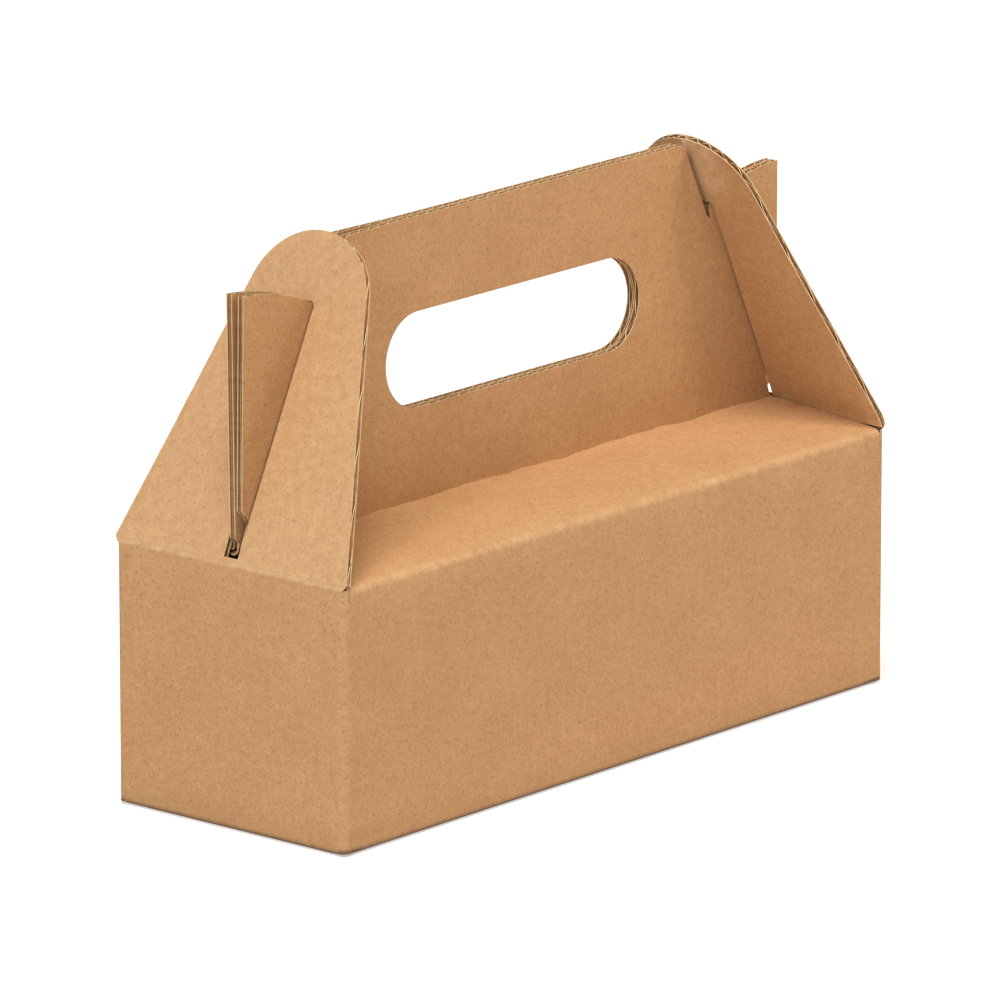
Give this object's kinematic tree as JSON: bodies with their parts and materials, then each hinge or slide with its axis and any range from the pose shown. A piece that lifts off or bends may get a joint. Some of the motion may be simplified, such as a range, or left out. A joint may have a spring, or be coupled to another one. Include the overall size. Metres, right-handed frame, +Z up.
{
  "type": "gable box",
  "caption": "Small carry box folded from brown corrugated board, with gable flaps slotted over the wings of its handle and a hand hole.",
  "frame": {"origin": "middle of the base, on the surface the box stands on", "axes": "+X along the box's length, -Y is the front, +Z up to the handle"},
  "size_m": [0.187, 0.0666, 0.1289],
  "materials": {
    "board": "matt brown kraft liner on fluted board"
  },
  "bodies": {
    "box": {"box_body": "board"},
    "left_flap": {"left_gable_flap": "board"},
    "right_flap": {"right_gable_flap": "board"}
  },
  "joints": [
    {"name": "left_flap_fold", "type": "hinge", "parent": "box", "child": "left_flap", "pos_m": [-0.0935, 0, 0.06], "axis": [0, -1, 0], "range_deg": [0, 115]},
    {"name": "right_flap_fold", "type": "hinge", "parent": "box", "child": "right_flap", "pos_m": [0.0935, 0, 0.06], "axis": [0, 1, 0], "range_deg": [0, 115]}
  ]
}
